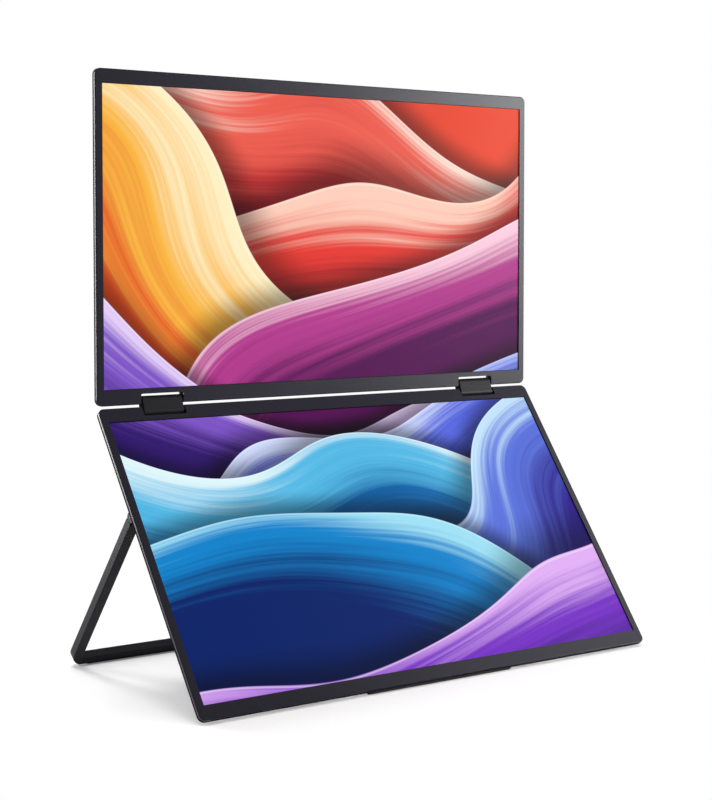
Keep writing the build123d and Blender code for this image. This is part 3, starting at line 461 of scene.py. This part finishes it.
charcoal_dark, charcoal_light = (22, 20, 29), (29, 27, 37)
finishes = {
    "light_guide": moulded("light_guide_white", (226, 226, 222), (238, 238, 236), 0.5, 900.0),
    "tape": moulded("tape_black", (18, 18, 19), (26, 26, 27), 0.7, 2600.0),
    "circuit_board": circuit_board(),
    "chip": moulded("chip_epoxy", (20, 20, 21), (32, 32, 33), 0.55, 3000.0),
    "ribbon": ribbon_cable(),
    "hinge_steel": steel("ground_steel", (150, 150, 152), (190, 190, 193), 0.32),
    "screw_steel": steel("blackened_steel", (44, 44, 47), (66, 66, 70), 0.4, (900.0, 900.0, 900.0)),
    "knuckle": satin_coat("knuckle_coat", (20, 19, 22), (27, 26, 30), 0.36, gloss=0.0, coat=knuckle_gloss),
    "cable": rubber("cable_jacket", (14, 14, 15), (22, 22, 24), 2600.0),
    "speaker": moulded("speaker_box", (16, 16, 17), (26, 26, 27), 0.6),
    "socket_metal": steel("plated_steel", (168, 168, 171), (186, 186, 190), 0.24, (500.0, 900.0, 900.0)),
    "button": moulded("key_plastic", (34, 33, 38), (44, 43, 49), 0.42, 2200.0),
    "rubber": rubber("foot_rubber", (18, 18, 19), (28, 28, 30), 1500.0),
    "stand_metal": satin_coat("stand_coat", (28, 27, 31), (37, 36, 41), 0.4, gloss=0.08),
    "bracket": steel("bracket_steel", (120, 120, 123), (160, 160, 164), 0.36),
    "upper_screen": screen_picture("upper_screen_picture", upper_axes, upper_axis, False),
    "lower_screen": screen_picture("lower_screen_picture", lower_axes, lower_axis, True),
}
casing_finishes, bezel_finishes = {}, {}
for module, axes, origin, rim_gloss in (
    ("upper", upper_axes, upper_axis, 0.34),
    ("lower", lower_axes, lower_axis, 0.95),
):
    shared = {"dark": charcoal_dark, "light": charcoal_light, "axes": axes, "origin": origin}
    casing_finishes[module] = satin_coat(
        f"{module}_casing_coat", rough=0.38, gloss=0.0, coat=cover_gloss(rim_gloss), **shared
    )
    bezel_finishes[module] = satin_coat(f"{module}_bezel_coat", rough=0.3, **shared)

# The pins' ends show beside the stand's legs, so they are blackened as the screws are
pin_finishes = dict.fromkeys(("stand_pin_left", "stand_pin_right"), finishes["screw_steel"])
for part in frame["record"]["subparts"]:
    name, slot = part["node"], part["material_slot"]
    module = name.split("_")[0]
    finish = {"casing": casing_finishes, "bezel": bezel_finishes}.get(slot, {}).get(module)
    finish = pin_finishes.get(name) or finish or finishes[slot]
    materials = frame["nodes"][name].data.materials
    materials.clear()
    materials.append(finish)


# Small pieces worked out as surfaces


def new_piece(name, points, faces, finish, body):
    """A closed mesh in its place, facing outwards, that moves with a body."""
    mesh = bpy.data.meshes.new(name)
    mesh.from_pydata(points.reshape(-1, 3).tolist(), [], faces)
    shell = bmesh.new()
    shell.from_mesh(mesh)
    bmesh.ops.recalc_face_normals(shell, faces=shell.faces)
    shell.to_mesh(mesh)
    shell.free()
    mesh.materials.append(finish)
    piece = bpy.data.objects.new(name, mesh)
    scene.collection.objects.link(piece)
    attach(piece, body)
    return piece


def ring_faces(rings, steps, first=0):
    """Quads between neighbouring closed rings of points, counted from a first point."""
    start = first + np.arange(rings - 1)[:, None] * steps
    here, after = start + np.arange(steps), start + (np.arange(steps) + 1) % steps
    return np.stack((here, here + steps, after + steps, after), axis=-1).reshape(-1, 4)


def fan_faces(pole, first, steps):
    """Triangles from a pole to a closed ring of points."""
    here, after = first + np.arange(steps), first + (np.arange(steps) + 1) % steps
    return np.stack((np.full(steps, pole), here, after), axis=-1)


def cross_recess(x, y):
    """Depth share of a cross: the larger of two crossed bars, each with sloped sides and ends."""
    bars = [
        np.clip((0.14 - abs(wide)) / 0.08 + 0.5, 0, 1) * np.clip((0.60 - abs(long)) / 0.14 + 0.5, 0, 1)
        for wide, long in ((x, y), (y, x))
    ]
    return np.maximum(*bars)


def raised_line(path, width, height):
    """A low ridge: a four-cornered profile carried along a flat path, with its two ends closed."""
    run = np.gradient(path, axis=0)
    run /= np.linalg.norm(run, axis=1, keepdims=True)
    beside = np.stack((-run[:, 1], run[:, 0]), axis=-1)
    profile = np.array(((-0.5, 0.0), (-0.38, 1.0), (0.38, 1.0), (0.5, 0.0))) * (width, height)
    flat = path[:, None, :] + beside[:, None, :] * profile[None, :, :1]
    points = np.concatenate((flat, np.broadcast_to(profile[None, :, 1:], (*flat.shape[:2], 1))), axis=-1)
    last = 4 * (len(path) - 1)
    ends = [[0, 1, 2, 3], [last + 3, last + 2, last + 1, last]]
    return points.reshape(-1, 3), ring_faces(len(path), 4).tolist() + ends


def joined(shapes):
    """Several meshes as one: their points in a row, and their faces counted on."""
    counts = np.cumsum([0] + [len(points) for points, _ in shapes])
    faces = [[corner + first for corner in face] for first, (_, rows) in zip(counts, shapes) for face in rows]
    return np.concatenate([points for points, _ in shapes]), faces


def arm_screws():
    """Sunk screw heads on the stand's legs, on a polar grid.

    The height is a shallow dome of the radius, less the cross recess. From the rim a cone runs down to the
    shank, and the shank to its end.
    """
    steps = 96
    dome, recess, sink = 0.09, 0.62, 0.03
    shank_share = 0.55
    rim_foot, cone_end, shank_end = -0.12, -0.9, -2.4
    share = np.concatenate((np.linspace(0.04, 1.0, 28), (1.0, shank_share, shank_share)))
    radius, turn = np.meshgrid(share, np.linspace(0, 2 * pi, steps + 1)[:-1], indexing="ij")
    x, y = radius * np.cos(turn), radius * np.sin(turn)
    top = (dome * (1 - radius**2) - recess * cross_recess(x, y) - sink) * mm
    top[-3:] = np.array((rim_foot, cone_end, shank_end))[:, None] * mm
    rings = np.stack((x * screw_head_radius, y * screw_head_radius, top), axis=-1).reshape(-1, 3)
    poles = np.array(((0, 0, dome - recess - sink), (0, 0, shank_end))) * mm
    local = np.concatenate((rings, poles))
    count = len(rings)
    ends = np.concatenate((fan_faces(count, 0, steps), fan_faces(count + 1, count - steps, steps)))
    faces = ends.tolist() + ring_faces(len(share), steps).tolist()
    heads = []
    for side in (-1, 1):
        middle = np.array((side * arm_screw_across, arm_screw_along, stand_half_thickness))
        heads.append((stand_pivot + (local + middle) @ stand_axes, faces))
    points, faces = joined(heads)
    finish = finishes["screw_steel"]
    screws = new_piece("arm_screw_heads", points, faces, finish, "kickstand")
    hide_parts("stand_arm_screws")


def box_of(node):
    """The lowest corner, the highest corner and the middle of a solid's box."""
    low_corner, high_corner = (np.array(corner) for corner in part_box(node))
    return low_corner, high_corner, (low_corner + high_corner) / 2


def key_marks():
    """Printed marks on the keys' faces: an open ring with a bar, and two chevrons, as raised lines."""
    mark_radius, mark_width, mark_height = 0.62 * mm, 0.2 * mm, 0.03 * mm
    turn = np.linspace(radians(125), radians(415), 40)
    ring = np.stack((np.cos(turn), np.sin(turn)), axis=-1) * mark_radius
    bar = np.array(((0.0, 0.18), (0.0, 0.5), (0.0, 0.82))) * mm
    chevron = np.array(((-0.62, -0.32), (0.0, 0.30), (0.62, -0.32))) * mm
    marks = {"power": [ring, bar], "brightness_up": [chevron], "brightness_down": [chevron * (1, -1)]}
    print_finish = moulded("key_print", (150, 150, 153), (178, 178, 181), 0.5, 2600.0)
    for key, paths in marks.items():
        points, faces = joined([raised_line(path, mark_width, mark_height) for path in paths])
        low_corner, _, middle = box_of(f"{key}_button")
        face_axes = np.array((lower_axes[2], -lower_axes[1], (-1.0, 0.0, 0.0)))
        place = np.array((low_corner[0], middle[1], middle[2]))
        new_piece(f"{key}_mark", place + points @ face_axes, faces, print_finish, f"{key}_key")


def socket_contacts():
    """Gold contacts on both faces of each socket's blade: short raised lines side by side."""
    contact_start, contact_end = 0.3 * mm, tongue_reach - 0.35 * mm
    contact_share, contact_height = 0.62, 0.06 * mm
    gold = steel("contact_gold", (190, 142, 62), (226, 182, 92), 0.3)
    # Each blade's number of contacts, and their pitch in millimetres
    rows = {"power_socket": (12, 0.5), "data_socket": (12, 0.5), "video_socket": (10, 0.78)}
    for socket, (count, pitch) in rows.items():
        _, high_corner, middle = box_of(socket)
        floor_x = high_corner[0] - socket_floor_depth
        shapes = []
        for place in (np.arange(count) - (count - 1) / 2) * pitch * mm:
            path = np.array(((contact_start, place), (contact_end, place)))
            line, faces = raised_line(path, contact_share * pitch * mm, contact_height)
            for face_side in (1, -1):
                raised = line * (1, 1, face_side) + (0, 0, face_side * tongue_blade / 2)
                shapes.append((raised, faces))
        points, faces = joined(shapes)
        face_axes = np.array(((1.0, 0.0, 0.0), lower_axes[1], lower_axes[2]))
        place = np.array((floor_x, middle[1], middle[2]))
        points = place + points @ face_axes
        new_piece(f"{socket}_contacts", points, faces, gold, "lower_module")


arm_screws()
key_marks()
socket_contacts()


# Camera, light and floor

camera_from_axis = (-0.79673, -1.163626, 0.120087)
camera_below_level, camera_turn = 2.524, -35.329
ambient_strength, white_strength = 0.55, 1.0

camera = bpy.data.objects.new("photo_camera", bpy.data.cameras.new("photo_camera"))
scene.collection.objects.link(camera)
camera.location = lower_axis + camera_from_axis
camera.rotation_euler = (radians(90 - camera_below_level), 0.0, radians(camera_turn))
camera.data.sensor_width = 36.0
camera.data.lens = 77.333
camera.data.shift_y = -0.0868
scene.camera = camera


def soft_light(name, place, target, size, power, spread=180.0):
    """A plain white softbox that faces a target."""
    lamp = bpy.data.lights.new(name, "AREA")
    lamp.shape = "RECTANGLE"
    lamp.size, lamp.size_y = size
    lamp.energy = power
    lamp.spread = radians(spread)
    box = bpy.data.objects.new(name, lamp)
    scene.collection.objects.link(box)
    box.location = place
    toward = np.array(target) - np.array(place)
    flat = np.hypot(toward[0], toward[1])
    box.rotation_euler = (np.arctan2(flat, -toward[2]), 0.0, np.arctan2(toward[1], toward[0]) - pi / 2)


soft_light("top_softbox", (-0.22, 0.5, 2.1), (0.0, 0.0, 0.2), (0.5, 0.5), 16.0)
soft_light("rear_softbox", (0.6, 1.7, 1.3), (0.0, 0.0, 0.2), (0.9, 0.9), 7.0)
soft_light("right_softbox", (1.25, -0.86, 0.45), (0.26, 0.0, 0.27), (0.6, 1.3), 4.5, spread=30.0)
soft_light("right_high_softbox", (1.15, -0.62, 0.95), (0.2, -0.08, 0.05), (0.5, 0.5), 0.2, spread=36.0)
soft_light("left_strip", (-0.8, 1.3, 0.4), (-0.21, 0.0, 0.22), (0.35, 1.2), 4.0, spread=60.0)


def seen_ray(tree):
    """One for rays that the camera, a mirror or glass sees, and zero for rays that only light the scene."""
    ray = put(tree, "LightPath").outputs
    mirrored = work(tree, "MAXIMUM", ray["Is Glossy Ray"], ray["Is Transmission Ray"])
    return work(tree, "MAXIMUM", ray["Is Camera Ray"], mirrored)


world = bpy.data.worlds.new("white_studio")
scene.world = world
world.use_nodes = True
air = world.node_tree
backdrop = air.nodes["Background"]
backdrop.inputs["Color"].default_value = (1.0, 1.0, 1.0, 1.0)
strength = ease(air, seen_ray(air), 0.0, 1.0, ambient_strength, white_strength)
air.links.new(strength, backdrop.inputs["Strength"])


def studio_floor():
    """Pale disc on the table plane: rings of growing radius about the middle of the floor.

    To the camera it turns white away from the object. Close in front of it, white is painted over the object's
    shadow.
    """
    rings, steps, reach = 13, 48, 6.0
    glow = 0.1
    fade_start, fade_end = 0.23, 0.36
    # Painted light: between these distances in front of the object, the floor is painted white over the object's
    # shadow
    painted_white_start, painted_white_end = 0.112, 0.165
    growth = np.linspace(0.0, 1.0, rings) ** 1.5 * reach
    radius, turn = np.meshgrid(growth, np.linspace(0, 2 * pi, steps + 1)[:-1], indexing="ij")
    points = np.stack((radius * np.cos(turn), radius * np.sin(turn), np.zeros_like(radius)), axis=-1)
    faces = ring_faces(rings, steps)
    mesh = bpy.data.meshes.new("studio_floor")
    mesh.from_pydata(points.reshape(-1, 3).tolist(), [], faces.tolist())
    floor = bpy.data.objects.new("studio_floor", mesh)
    scene.collection.objects.link(floor)
    material = bpy.data.materials.new("pale_floor")
    material.use_nodes = True
    tree = material.node_tree
    shader = tree.nodes["Principled BSDF"]
    shader.inputs["Base Color"].default_value = (0.9, 0.9, 0.9, 1.0)
    shader.inputs["Roughness"].default_value = 1.0
    shader.inputs["Specular IOR Level"].default_value = 0.0
    seen = seen_ray(tree)
    place = put(tree, "TexCoord").outputs["Object"]
    away = put(tree, "VectorMath", {0: place}, operation="LENGTH").outputs["Value"]
    forward = work(tree, "MULTIPLY", put(tree, "SeparateXYZ", {0: place}).outputs["Y"], -1.0)
    outside = ease(tree, away, fade_start, fade_end)
    # White backdrop away from the object, with painted white over the shadow close in front of it
    backdrop_and_painted_white = work(tree, "MAXIMUM", outside, ease(tree, forward, painted_white_start, painted_white_end))
    shader.inputs["Emission Color"].default_value = (1.0, 1.0, 1.0, 1.0)
    tree.links.new(work(tree, "MULTIPLY", seen, glow), shader.inputs["Emission Strength"])
    white = put(tree, "Emission", {"Color": (1.0, 1.0, 1.0, 1.0), "Strength": 1.0})
    fade = work(tree, "MULTIPLY", seen, backdrop_and_painted_white)
    mixed = put(tree, "MixShader", {0: fade, 1: shader.outputs[0], 2: white.outputs[0]})
    tree.links.new(mixed.outputs[0], tree.nodes["Material Output"].inputs["Surface"])
    mesh.materials.append(material)


studio_floor()
scene.view_settings.view_transform = "Standard"
